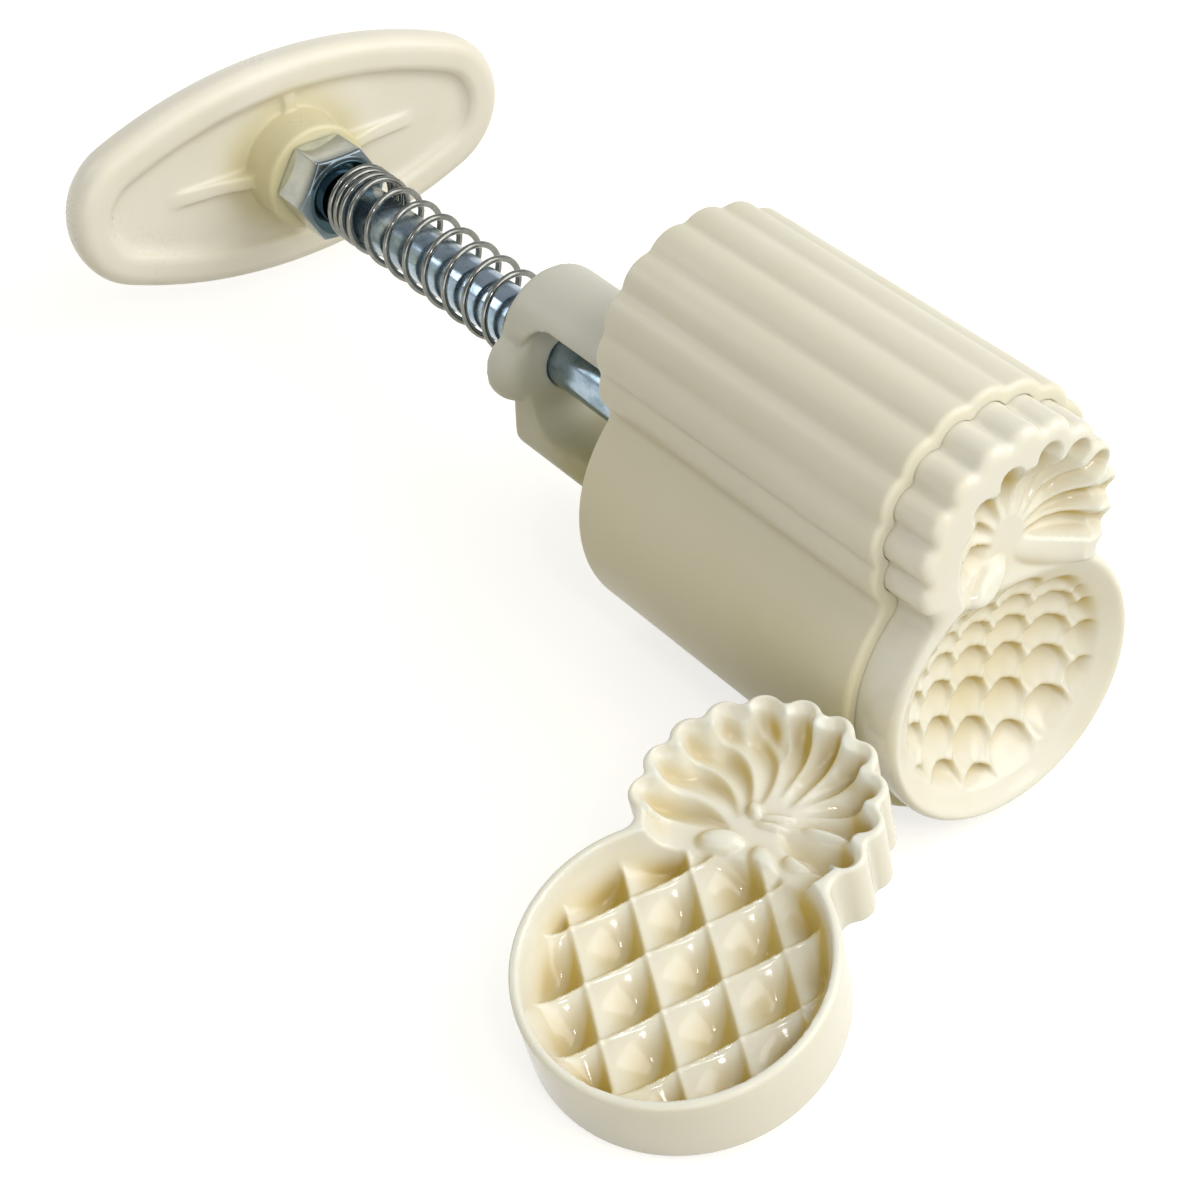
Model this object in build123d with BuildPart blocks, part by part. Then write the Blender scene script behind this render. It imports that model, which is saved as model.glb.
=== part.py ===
"""A hand press for pineapple pastries: cutting barrel, sliding stamp, sprung plunger, spare stamp.

Millimetres. The origin is on the plunger's axis in the plane of the cutting rim. +Y runs back to
the push handle, +X to the right as seen from the rim, and +Z from the pineapple's body up to its
crown.
"""
import os
from math import asin, ceil, cos, pi, radians, sin, sqrt

from build123d import *

# Section of the press: a round body below, and a crown of lobes above
body_radius = 18.4
body_centre = -1.8
crown_centre = 19.7
crown_tip_radius = 14.9
crown_valley_radius = 13.3
lobe_count = 11
lobe_pitch = 20.6  # degrees
valley_round = 0.45
outer_valley_round = 0.9  # outside the barrel
neck_round = 2.2

# Barrel
barrel_length = 52.8
barrel_wall = 1.8
barrel_rim_round = 0.5
stamp_gap = 0.25  # all round, between the stamp or piston and the barrel

# Guide at the barrel's rear: a plug, two arms and the plate that carries the rod
plug_depth = 6
plug_gap = 0.05
guide_length = 34.2  # from the barrel's rear to the plate's rear
guide_plate = 4.6
guide_bore_gap = 0.08
arm_width = 14.4
arm_round = 3.6
arm_foot_round = 4.5
top_arm_radius = 8.5
top_arm_centre = 4.3
top_arm_under = 8.8
bottom_arm_top = 8.8  # below the axis
bottom_arm_foot = 14  # below the axis
side_lobe_reach = 11.4
side_lobe_height = 10.9
side_lobe_centre = 0.35
side_lobe_round = 5.2

# Bolt that is the rod, and its lock nut
rod_radius = 4
hex_across_flats = 13
bolt_head = 5.3
hex_chamfer = 0.9
thread_gap = 0.05
lock_nut_hex = 7.2
lock_nut_collar = 0.8
collar_radius = 6.1
collar_round = 0.3

# Return spring round the rod
spring_length = 53
spring_wire = 0.95
spring_radius = 5.05  # to the middle of the wire
spring_shift = (0.3, 0.25)  # the loose spring hangs a little off the rod's axis
spring_seat_gap = 0.1
tight_pitch = 1.5
tight_turns = 2.5
blend_turns = 1
open_turns = 9
spring_bend = 1.5  # along the axis, from the last turn to the straight end

# Piston behind the mounted stamp
piston_length = 22
piston_face = 12
skirt_wall = 2.2
head_pocket_gap = 0.25
seat_gap = 0.05

# Stamps
stamp_thickness = 11
stamp_protrusion = 6.9
stamp_rim_round = 0.4
hollow_run = 3  # how far the wall of a hollow runs in
body_hollow = 5.2
body_hollow_radius = 17
crown_hollow = 4.2
crown_hollow_radius = 12.6
peg_radius = 2
peg_length = 3
peg_gap = 0.15
crown_peg_height = 15.5  # above the axis
body_peg_height = -11
leaf_depth = 5.6
leaf_inner_radius = 3.6
leaf_tip_gap = 1.9  # from a leaf's end to the lobe's tip
leaf_radius = 1.45
cell_depth = 1.2
cell_pitch = 5.6
cell_ridge = 0.7
cell_slope = 25  # degrees
lattice_across = 9.5
lattice_along = 11.7
lattice_ridge = 0.8
lattice_depth = 1.8
lattice_slope = 52  # degrees
lattice_top = 7.2  # above the body's centre

# Handle
handle_length = 74.6
handle_width = 34.4
handle_end_radius = 12
handle_thickness = 10.4
handle_back_round = 7.6
handle_front_round = 2.4
handle_lip_round = 1.4
handle_rim = 5.6
dish_depth = 3
dish_round = 1.5
boss_radius = 8.4
boss_front = 5.7  # ahead of the handle's rim
rod_in_handle = 11.4
long_rib = 2.2
short_rib = 1.8
rib_reach = 22  # of the long ribs, from the axis
rib_rise = 4  # of the long ribs at the boss, from the dish's floor

# Where the spare stamp leans: the middle of its body in its front plane, and its turns
spare_place = (-56.5, -14.9, -6.15)
spare_bearing = -63.9  # degrees
spare_rise = 72.5  # degrees

cut_overrun = 1
samples_per_arc = 8


def across(depth):
    """The plane square to the axis at a depth behind the cutting rim, facing forwards."""
    return Plane.XZ.offset(-depth)


def crown_place(radius, turns):
    """A place on the section, from its distance to the crown's centre and its count of lobes."""
    angle = radians(turns * lobe_pitch)
    return Vector(radius * sin(angle), crown_centre + radius * cos(angle))


def towards(start, end, distance):
    """The point at a distance from one point in the direction of another."""
    return start + (end - start).normalized() * distance


def rounding_centre(first, second, rounding):
    """The centre of the arc that rounds the notch between two circles, away from the crown."""
    (start, start_radius), (end, end_radius) = first, second
    reach = start_radius + rounding
    span = (end - start).length
    foot = (reach**2 - (end_radius + rounding) ** 2 + span**2) / (2 * span)
    line = (end - start).normalized()
    aside = Vector(-line.Y, line.X) * sqrt(reach**2 - foot**2)
    choices = [start + line * foot + aside, start + line * foot - aside]
    return max(choices, key=lambda place: (place - Vector(0, crown_centre)).length)


def pineapple(plane, growth, valley_rounding):
    """The outline of body and crown on a plane, with every side moved outwards by growth.

    Body and lobes are arcs of circles. Small arcs tangent to them round the valleys and the neck.
    """
    half_lobe = radians(lobe_pitch / 2)
    rise = crown_tip_radius - crown_valley_radius * cos(half_lobe)
    half_chord = crown_valley_radius * sin(half_lobe)
    lobe_radius = (half_chord**2 + rise**2) / (2 * rise)
    last = (lobe_count - 1) / 2
    body = (Vector(0, body_centre), body_radius + growth)
    lobes = [
        (crown_place(crown_tip_radius - lobe_radius, lobe - last), lobe_radius + growth)
        for lobe in range(lobe_count)
    ]
    circles = [body, *lobes, body]
    roundings = [neck_round, *[valley_rounding] * (lobe_count - 1), neck_round]
    centres = [
        rounding_centre(circle, following, rounding)
        for circle, following, rounding in zip(circles, circles[1:], roundings)
    ]
    with BuildSketch(plane) as outline:
        with BuildLine():
            for (hub, radius), before, after in zip(lobes, centres, centres[1:]):
                tip = towards(Vector(0, crown_centre), hub, crown_tip_radius + growth)
                ThreePointArc(towards(hub, before, radius), tip, towards(hub, after, radius))
            for circle, following, centre, rounding in zip(
                circles, circles[1:], centres, roundings
            ):
                start = towards(circle[0], centre, circle[1])
                end = towards(following[0], centre, following[1])
                ThreePointArc(start, towards(centre, (start + end) / 2, rounding), end)
            foot = Vector(0, body_centre - body_radius - growth)
            start = towards(body[0], centres[-1], body[1])
            ThreePointArc(start, foot, towards(body[0], centres[0], body[1]))
        make_face()
    return outline.sketch


def plain_pineapple(plane, inset):
    """Two plain circles, a distance inside the outline of body and crown."""
    with BuildSketch(plane) as outline:
        with Locations((0, body_centre)):
            Circle(body_radius - inset)
        with Locations((0, crown_centre)):
            Circle(crown_valley_radius - inset)
    return outline.sketch


def hexagon(plane, across_flats):
    """A hexagon round the plane's origin, with a corner to each side."""
    with BuildSketch(plane) as outline:
        RegularPolygon(radius=across_flats / 2, side_count=6, major_radius=False)
    return outline.sketch


def disc(plane, radius):
    """A circle round the plane's origin."""
    with BuildSketch(plane) as outline:
        Circle(radius)
    return outline.sketch


def pair_of_pegs(plane, radius):
    """The two pegs that carry a stamp, or the holes for them."""
    with BuildSketch(plane) as pegs:
        with Locations((0, crown_peg_height), (0, body_peg_height)):
            Circle(radius)
    return pegs.sketch


def oval(plane, length, width, end_radius):
    """An oval of two end arcs and two long side arcs, each tangent to the next."""
    half_length = length / 2
    half_width = width / 2
    centre_x = half_length - end_radius
    side_radius = (centre_x**2 + half_width**2 - end_radius**2) / (2 * (half_width - end_radius))
    side_centre = side_radius - half_width
    lean = sqrt(centre_x**2 + side_centre**2)
    join_x = centre_x + end_radius * centre_x / lean
    join_z = end_radius * side_centre / lean
    with BuildSketch(plane) as outline:
        with BuildLine():
            ThreePointArc((join_x, -join_z), (half_length, 0), (join_x, join_z))
            ThreePointArc((join_x, join_z), (0, half_width), (-join_x, join_z))
            ThreePointArc((-join_x, join_z), (-half_length, 0), (-join_x, -join_z))
            ThreePointArc((-join_x, -join_z), (0, -half_width), (join_x, -join_z))
        make_face()
    return outline.sketch


# Barrel: a thin tube in the shape of the pineapple
with BuildPart() as barrel:
    extrude(pineapple(across(0), stamp_gap + barrel_wall, outer_valley_round), amount=-barrel_length)
    front_edges = barrel.faces().sort_by(Axis.Y)[0].edges()
    fillet(front_edges, radius=barrel_rim_round)
    extrude(
        pineapple(across(-cut_overrun), stamp_gap, valley_round),
        amount=-(barrel_length + 2 * cut_overrun),
        mode=Mode.SUBTRACT,
    )
barrel.part.label = "barrel"

# Guide: its plug fills the barrel's rear, and its plate carries the rod
plug_front = barrel_length - plug_depth
plate_rear = barrel_length + guide_length
plate_front = plate_rear - guide_plate
with BuildPart() as guide_bridge:
    extrude(pineapple(across(plug_front), stamp_gap - plug_gap, valley_round), amount=-plug_depth)
    with BuildSketch(across(barrel_length)) as top_arm:
        with Locations((0, top_arm_centre)):
            Circle(top_arm_radius)
        with Locations((0, top_arm_under)):
            Rectangle(
                2 * top_arm_radius,
                top_arm_radius,
                align=(Align.CENTER, Align.MIN),
                mode=Mode.INTERSECT,
            )
    extrude(amount=-guide_length)
    with BuildSketch(across(barrel_length)) as bottom_arm:
        with Locations((0, -bottom_arm_top)):
            Rectangle(
                arm_width, bottom_arm_foot - bottom_arm_top, align=(Align.CENTER, Align.MAX)
            )
        fillet(bottom_arm.vertices().sort_by(Axis.Y)[:2], radius=arm_round)
    extrude(amount=-guide_length)
    with BuildSketch(across(plate_front)) as plate:
        with Locations((0, top_arm_centre)):
            Circle(top_arm_radius)
        with Locations((0, side_lobe_centre)):
            RectangleRounded(2 * side_lobe_reach, side_lobe_height, side_lobe_round)
        Rectangle(arm_width, bottom_arm_foot, align=(Align.CENTER, Align.MAX))
        fillet(plate.vertices().sort_by(Axis.Y)[:2], radius=arm_round)
    extrude(amount=-guide_plate)
    inner_corners = (
        guide_bridge.edges()
        .filter_by(Axis.X)
        .filter_by_position(Axis.Y, plate_front - arm_round, plate_front + arm_round)
        .filter_by_position(Axis.Z, -bottom_arm_top - seat_gap, top_arm_under + seat_gap)
    )
    fillet(inner_corners, radius=arm_foot_round)
    extrude(
        disc(across(plug_front - cut_overrun), rod_radius + guide_bore_gap),
        amount=-(plug_depth + guide_length + 2 * cut_overrun),
        mode=Mode.SUBTRACT,
    )
guide_bridge.part.label = "guide_bridge"

# Mounted stamp's front plane, and the piston behind its back
mounted_face = across(-stamp_protrusion)
stamp_back = stamp_thickness - stamp_protrusion
piston_front = stamp_back + seat_gap
head_seat = piston_front + head_pocket_gap + bolt_head
with BuildPart() as piston:
    extrude(pineapple(across(piston_front), 0, valley_round), amount=-piston_length)
    extrude(
        plain_pineapple(across(piston_front + piston_face), skirt_wall),
        amount=-piston_length,
        mode=Mode.SUBTRACT,
    )
    extrude(
        hexagon(across(piston_front - cut_overrun), hex_across_flats + 2 * head_pocket_gap),
        amount=-(cut_overrun + head_pocket_gap + bolt_head),
        mode=Mode.SUBTRACT,
    )
    extrude(
        disc(across(piston_front), rod_radius + thread_gap),
        amount=-piston_length,
        mode=Mode.SUBTRACT,
    )
    extrude(pair_of_pegs(across(piston_front), peg_radius), amount=peg_length)
piston.part.label = "piston"

# Spring, nut and handle sit in line behind the guide's plate
nut_front = plate_rear + spring_length
nut_rear = nut_front + lock_nut_collar + lock_nut_hex
handle_front = nut_rear + boss_front
rod_end = nut_rear + rod_in_handle

# Bolt: a hexagon head in the piston's pocket, and a plain shank to the handle
with BuildPart() as bolt:
    extrude(hexagon(across(head_seat - bolt_head), hex_across_flats), amount=-bolt_head)
    extrude(disc(across(head_seat), rod_radius), amount=-(rod_end - head_seat))
    chamfer(bolt.faces().sort_by(Axis.Y)[-1].edges(), length=hex_chamfer)
bolt.part.label = "bolt"


def hexagon_turning(front, rear, chamfered):
    """The turned blank that takes a hexagon's corners off at its front and rear ends."""
    corner_radius = hex_across_flats / sqrt(3)
    face_radius = corner_radius - chamfered
    with BuildSketch(Plane.XY) as blank:
        with BuildLine():
            Polyline(
                (0, front),
                (face_radius, front),
                (corner_radius, front + chamfered / 2),
                (corner_radius, rear - chamfered / 2),
                (face_radius, rear),
                (0, rear),
                (0, front),
            )
        make_face()
    return blank.sketch


# Lock nut: a hexagon with turned ends and a domed collar that takes the spring
collar_rear = nut_front + lock_nut_collar
with BuildPart() as lock_nut:
    extrude(hexagon(across(collar_rear), hex_across_flats), amount=-lock_nut_hex)
    revolve(
        hexagon_turning(collar_rear, nut_rear, hex_chamfer),
        axis=Axis.Y,
        mode=Mode.INTERSECT,
    )
    extrude(disc(across(nut_front), collar_radius), amount=-lock_nut_collar)
    fillet(lock_nut.faces().sort_by(Axis.Y)[0].edges(), radius=collar_round)
    extrude(
        disc(across(nut_front - cut_overrun), rod_radius + thread_gap),
        amount=-(nut_rear - nut_front + 2 * cut_overrun),
        mode=Mode.SUBTRACT,
    )
lock_nut.part.label = "lock_nut"

# Handle: an oval push plate, dished in front, with a boss and four ribs
dish_floor = handle_front + dish_depth
with BuildPart() as handle:
    extrude(
        oval(across(handle_front), handle_length, handle_width, handle_end_radius),
        amount=-handle_thickness,
    )
    fillet(handle.faces().sort_by(Axis.Y)[-1].edges(), radius=handle_back_round)
    fillet(handle.faces().sort_by(Axis.Y)[0].edges(), radius=handle_front_round)
    extrude(
        oval(
            across(handle_front - cut_overrun),
            handle_length - 2 * handle_rim,
            handle_width - 2 * handle_rim,
            handle_end_radius - handle_rim,
        ),
        amount=-(cut_overrun + dish_depth),
        mode=Mode.SUBTRACT,
    )
    dish_edges = handle.edges().filter_by_position(Axis.Y, dish_floor - seat_gap, dish_floor + seat_gap)
    fillet(dish_edges, radius=dish_round)
    lip_edges = handle.faces().sort_by(Axis.Y)[0].inner_wires()[0].edges()
    fillet(lip_edges, radius=handle_lip_round)
    extrude(disc(across(nut_rear), boss_radius), amount=-(dish_floor - nut_rear))
    with BuildSketch(Plane.XY) as long_ribs:
        with BuildLine():
            Polyline(
                (-rib_reach, dish_floor),
                (-boss_radius, dish_floor - rib_rise),
                (boss_radius, dish_floor - rib_rise),
                (rib_reach, dish_floor),
                (-rib_reach, dish_floor),
            )
        make_face()
    extrude(amount=long_rib / 2, both=True)
    with BuildSketch(across(handle_front + handle_lip_round)) as short_ribs:
        Rectangle(short_rib, handle_width - 2 * handle_rim + handle_lip_round)
    extrude(amount=-(dish_depth - handle_lip_round))
    extrude(
        disc(across(nut_rear - cut_overrun), rod_radius + thread_gap),
        amount=-(cut_overrun + rod_in_handle + thread_gap),
        mode=Mode.SUBTRACT,
    )
handle.part.label = "handle"


def hollow(face, centre, rim_radius, depth):
    """Sinks a round hollow with a concave wall into the stamp in hand, from its front plane."""
    middle = Plane(
        origin=face.from_local_coords((0, centre, 0)), x_dir=face.x_dir, z_dir=-face.y_dir
    )
    floor_radius = rim_radius - hollow_run
    with BuildSketch(middle) as profile:
        with BuildLine():
            Polyline((0, -depth), (0, cut_overrun), (rim_radius, cut_overrun), (rim_radius, 0))
            TangentArc((rim_radius, 0), (floor_radius, -depth), tangent=(0, -1))
            Line((floor_radius, -depth), (0, -depth))
        make_face()
    revolve(profile.sketch, axis=Axis(middle.origin, face.z_dir), mode=Mode.SUBTRACT)


def leaves(plane):
    """Leaf shapes that fan out from the crown's centre, one to a lobe, round at the outer end."""
    end_radius = crown_tip_radius - leaf_tip_gap - leaf_radius
    lean = asin(leaf_radius / (end_radius - leaf_inner_radius))
    aside = leaf_radius * cos(lean)
    join = end_radius - leaf_radius * sin(lean)
    with BuildSketch(plane) as fan:
        for lobe in range(lobe_count):
            turn = (lobe_count - 1) / 2 - lobe
            stem = Location((0, crown_centre), turn * lobe_pitch)
            with BuildLine():
                ends = [
                    stem * Location(place)
                    for place in (
                        (0, leaf_inner_radius),
                        (aside, join),
                        (0, end_radius + leaf_radius),
                        (-aside, join),
                    )
                ]
                inner, right, tip, left = [end.position for end in ends]
                Line(inner, right)
                ThreePointArc(right, tip, left)
                Line(left, inner)
            make_face()
    return fan.sketch


def stamp_blank(face):
    """A stamp without its body's pattern: outline, rounded rim, hollows, leaves and peg holes."""
    with BuildPart() as blank:
        extrude(pineapple(face, 0, valley_round), amount=-stamp_thickness)
        rim = blank.faces().filter_by(lambda side: side.normal_at().dot(face.z_dir) > 1 / 2)
        fillet(rim.edges(), radius=stamp_rim_round)
        hollow(face, body_centre, body_hollow_radius, body_hollow)
        hollow(face, crown_centre, crown_hollow_radius, crown_hollow)
        extrude(leaves(face), amount=-leaf_depth, mode=Mode.SUBTRACT)
        extrude(
            pair_of_pegs(face.offset(-stamp_thickness - cut_overrun), peg_radius + peg_gap),
            amount=cut_overrun + peg_length + peg_gap,
            mode=Mode.SUBTRACT,
        )
    return blank.part


def honeycomb_recesses(face):
    """Tapered hexagon recesses in the floor of the body's hollow."""
    floor = face.offset(-body_hollow)
    across_flats = cell_pitch - cell_ridge
    column_pitch = cell_pitch * cos(pi / 6)
    columns = ceil(body_hollow_radius / column_pitch)
    rows = ceil(body_hollow_radius / cell_pitch)
    with BuildPart() as recesses:
        for column in range(-columns, columns + 1):
            for row in range(-rows, rows + 1):
                x = column * column_pitch
                z = (row + column % 2 / 2) * cell_pitch
                if sqrt(x**2 + z**2) < body_hollow_radius - hollow_run - cell_ridge:
                    with BuildSketch(floor) as cell:
                        with Locations((x, body_centre + z)):
                            RegularPolygon(across_flats / 2, 6, major_radius=False)
                    extrude(cell.sketch, amount=-cell_depth, taper=cell_slope)
        extrude(pattern_field(floor), amount=-2 * cell_depth, mode=Mode.INTERSECT)
    return recesses.part


def lattice_recesses(face):
    """Pyramid recesses between crossed ridges, in the floor of the body's hollow."""
    floor = face.offset(-body_hollow)
    columns = ceil(2 * body_hollow_radius / lattice_across)
    rows = ceil(2 * body_hollow_radius / lattice_along)
    half_across = (lattice_across - lattice_ridge) / 2
    half_along = (lattice_along - lattice_ridge * lattice_along / lattice_across) / 2
    with BuildPart() as recesses:
        for column in range(-columns, columns + 1):
            for row in range(-rows, rows + 1):
                x = column * lattice_across / 2
                z = lattice_top + (row + (column + 1) % 2 / 2) * lattice_along
                if sqrt(x**2 + z**2) < body_hollow_radius - hollow_run:
                    with BuildSketch(floor) as cell:
                        with Locations((x, body_centre + z)):
                            Polygon(
                                (half_across, 0), (0, half_along), (-half_across, 0), (0, -half_along)
                            )
                    extrude(cell.sketch, amount=-lattice_depth, taper=lattice_slope)
        extrude(pattern_field(floor), amount=-2 * lattice_depth, mode=Mode.INTERSECT)
    return recesses.part


def pattern_field(plane):
    """The round field that a body's pattern fills, on a plane."""
    with BuildSketch(plane) as field:
        with Locations((0, body_centre)):
            Circle(body_hollow_radius - hollow_run)
    return field.sketch


# Mounted stamp, in the barrel's mouth
with BuildPart() as honeycomb_stamp:
    add(stamp_blank(mounted_face))
    add(honeycomb_recesses(mounted_face), mode=Mode.SUBTRACT)
honeycomb_stamp.part.label = "honeycomb_stamp"

# Spare stamp, leaning beside the barrel
bearing = radians(spare_bearing)
rise = radians(spare_rise)
spare_normal = (sin(bearing) * cos(rise), -cos(bearing) * cos(rise), sin(rise))
spare_body = Plane(origin=spare_place, x_dir=(cos(bearing), sin(bearing), 0), z_dir=spare_normal)
spare_face = Plane(
    origin=spare_body.from_local_coords((0, -body_centre, 0)),
    x_dir=spare_body.x_dir,
    z_dir=spare_normal,
)
with BuildPart() as lattice_stamp:
    add(stamp_blank(spare_face))
    add(lattice_recesses(spare_face), mode=Mode.SUBTRACT)
lattice_stamp.part.label = "lattice_stamp"

# Return spring: one wire, wound in open turns that close up towards the nut
along = Vector(0, 1, 0)
coil_start = plate_rear + spring_seat_gap + spring_wire + spring_bend
coil_end = nut_front - spring_seat_gap - spring_wire - spring_bend
coil_turns = open_turns + blend_turns + tight_turns
open_share = open_turns + blend_turns / 2
open_pitch = tight_pitch + (coil_end - coil_start - tight_pitch * coil_turns) / open_share


def coil_height(turns):
    """The coil's place along the axis after some turns, and its pitch there."""
    blended = min(max(turns - open_turns, 0), blend_turns)
    opened = min(turns, open_turns) + blended - blended**2 / (2 * blend_turns)
    extra = open_pitch - tight_pitch
    height = coil_start + tight_pitch * turns + extra * opened
    pitch = tight_pitch + extra * (1 - blended / blend_turns)
    return height, pitch


def coil_point(turns):
    """A point on the coil, and the wire's direction there."""
    angle = 2 * pi * turns
    height, pitch = coil_height(turns)
    shift_x, shift_z = spring_shift
    point = Vector(
        shift_x + spring_radius * cos(angle), height, shift_z + spring_radius * sin(angle)
    )
    around = 2 * pi * spring_radius
    heading = Vector(-around * sin(angle), pitch, around * cos(angle)).normalized()
    return point, heading


def flat(heading):
    """A direction without its part along the axis."""
    return heading - along * heading.Y


def biarc(start, heading, end, end_heading):
    """Two arcs, tangent to each other, that join two points in their headings."""
    span = end - start
    reach = span.dot(heading + end_heading)
    bend = 2 * (1 - heading.dot(end_heading))
    lead = (sqrt(reach**2 + bend * span.dot(span)) - reach) / bend
    first = start + heading * lead
    last = end - end_heading * lead
    middle = (first + last) / 2
    middle_heading = (last - first).normalized()
    return (
        TangentArc(start, middle, tangent=heading),
        TangentArc(middle, end, tangent=middle_heading),
    )


with BuildPart() as return_spring:
    with BuildLine() as wire_path:
        knots = [coil_point(half / 2) for half in range(round(2 * coil_turns) + 1)]
        first_point, first_heading = knots[0]
        last_point, last_heading = knots[-1]
        low_bend = first_point - (flat(first_heading) + along) * spring_bend
        high_bend = last_point + (flat(last_heading) + along) * spring_bend
        Line(low_bend - along * spring_wire, low_bend)
        arcs = [*biarc(low_bend, along, first_point, first_heading)]
        for knot, following in zip(knots, knots[1:]):
            arcs += biarc(*knot, *following)
        arcs += biarc(last_point, last_heading, high_bend, along)
        Line(high_bend, high_bend + along * spring_wire)
    with BuildSketch(Plane(origin=low_bend - along * spring_wire, z_dir=along)):
        Circle(spring_wire / 2)
    sweep()
return_spring.part.label = "return_spring"

# The least gap of the spring to itself, measured between points half a turn or more apart
samples = [arc @ (share / samples_per_arc) for arc in arcs for share in range(samples_per_arc)]
half_turn = 2 * samples_per_arc
gaps = [
    (samples[later] - samples[earlier]).length - spring_wire
    for earlier in range(len(samples))
    for later in range(earlier + half_turn, len(samples))
]
print("spring: open pitch", round(open_pitch, 2), "least gap to itself", round(min(gaps), 2))
print("spring: least bend radius", round(min(arc.radius for arc in arcs), 2))

os.makedirs("parts", exist_ok=True)
for piece in (
    barrel,
    guide_bridge,
    piston,
    bolt,
    lock_nut,
    handle,
    honeycomb_stamp,
    lattice_stamp,
    return_spring,
):
    export_step(piece.part, f"parts/{piece.part.label}.step")
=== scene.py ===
"""Looks of the pineapple pastry press: its pieces, finishes, studio light and camera.

Metres, in the frame of the CAD: origin on the plunger's axis in the plane of the cutting rim, +Y
back to the handle, +Z up to the crown. Shapes are worked out in millimetres and scaled at the end.
"""
from math import atan2, copysign, cos, pi, radians, sin, sqrt, tau

import bpy
import numpy as np
from mathutils import Matrix, Vector


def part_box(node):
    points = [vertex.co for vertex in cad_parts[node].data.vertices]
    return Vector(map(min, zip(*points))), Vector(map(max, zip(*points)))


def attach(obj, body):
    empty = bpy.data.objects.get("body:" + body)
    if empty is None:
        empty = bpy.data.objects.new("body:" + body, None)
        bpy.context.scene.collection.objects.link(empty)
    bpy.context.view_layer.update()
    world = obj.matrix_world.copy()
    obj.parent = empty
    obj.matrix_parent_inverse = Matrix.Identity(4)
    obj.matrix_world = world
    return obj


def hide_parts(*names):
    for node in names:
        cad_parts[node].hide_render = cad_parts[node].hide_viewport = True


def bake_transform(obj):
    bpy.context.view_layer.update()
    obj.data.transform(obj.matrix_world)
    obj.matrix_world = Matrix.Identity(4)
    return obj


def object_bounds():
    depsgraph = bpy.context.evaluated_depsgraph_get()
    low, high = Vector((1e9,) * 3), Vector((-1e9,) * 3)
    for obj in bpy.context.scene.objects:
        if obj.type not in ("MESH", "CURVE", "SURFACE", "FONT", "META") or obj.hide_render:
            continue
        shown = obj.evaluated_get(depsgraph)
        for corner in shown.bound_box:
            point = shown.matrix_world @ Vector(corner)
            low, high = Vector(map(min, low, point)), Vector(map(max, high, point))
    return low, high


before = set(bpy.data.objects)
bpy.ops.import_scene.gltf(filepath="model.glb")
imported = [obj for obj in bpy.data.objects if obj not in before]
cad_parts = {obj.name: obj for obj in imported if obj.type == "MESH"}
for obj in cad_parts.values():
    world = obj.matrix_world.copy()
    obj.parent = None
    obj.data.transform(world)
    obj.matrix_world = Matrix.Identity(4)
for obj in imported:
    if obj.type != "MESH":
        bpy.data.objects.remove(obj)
cad_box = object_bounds()
MM = 0.001

# Points nearer to each other than this are one point, in millimetres
join_distance = 0.0005

# Section of the press, as in the CAD
body_radius = 18.4
body_centre = Vector((0, -1.8))
crown_centre = Vector((0, 19.7))
crown_tip = 14.9
crown_valley = 13.3
lobe_count = 11
lobe_pitch = radians(20.6)
valley_round = 1.0
neck_round = 2.2
stamp_thickness = 11
stamp_front = -6.9
barrel_length = 52.8
barrel_wall = 1.8
stamp_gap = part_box("barrel")[1].x / MM - body_radius - barrel_wall

# Places along the axis
plate_rear = 87
nut_front = 140


# Modelling by hand


def deselect():
    """Leaves edit mode with nothing selected."""
    if bpy.context.object and bpy.context.object.mode != "OBJECT":
        bpy.ops.object.mode_set(mode="OBJECT")
    bpy.ops.object.select_all(action="DESELECT")


def activate(piece):
    """Selects one piece alone."""
    deselect()
    bpy.context.view_layer.objects.active = piece
    piece.select_set(True)


def apply_modifier(piece, kind, **settings):
    """Adds a modifier to a piece and applies it."""
    activate(piece)
    modifier = piece.modifiers.new(kind.title(), kind)
    for name, value in settings.items():
        setattr(modifier, name, value)
    bpy.ops.object.modifier_apply(modifier=modifier.name)


def smoothed(piece, rounds):
    """Evens out a piece's whole surface."""
    apply_modifier(piece, "SMOOTH", factor=0.5, iterations=rounds)


def remeshed(piece, voxel, rounds):
    """Rebuilds a piece's surface from small cubes and evens it out."""
    apply_modifier(piece, "REMESH", mode="VOXEL", voxel_size=voxel, adaptivity=0)
    smoothed(piece, rounds)


def coordinates(piece):
    """The places of a piece's vertices, as an array."""
    places = np.empty(len(piece.data.vertices) * 3)
    piece.data.vertices.foreach_get("co", places)
    return places.reshape(-1, 3)


def set_coordinates(piece, places):
    """Moves a piece's vertices."""
    piece.data.vertices.foreach_set("co", places.ravel())
    piece.data.update()


def lofted(name, rings, capped=True):
    """A piece drawn from ring to ring: a circle is extruded once for each ring and laid on it."""
    deselect()
    count = len(rings[0])
    bpy.ops.mesh.primitive_circle_add(vertices=count, radius=1, fill_type="NGON" if capped else "NOTHING")
    piece = bpy.context.object
    piece.name = name
    for index in range(1, len(rings)):
        bpy.ops.object.mode_set(mode="EDIT")
        if index == 1:
            bpy.ops.mesh.select_all(action="SELECT")
        bpy.ops.mesh.extrude_region_move(TRANSFORM_OT_translate={"value": (0, 0, 1)})
        bpy.ops.object.mode_set(mode="OBJECT")
    set_coordinates(piece, np.concatenate(rings))
    return piece


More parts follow.
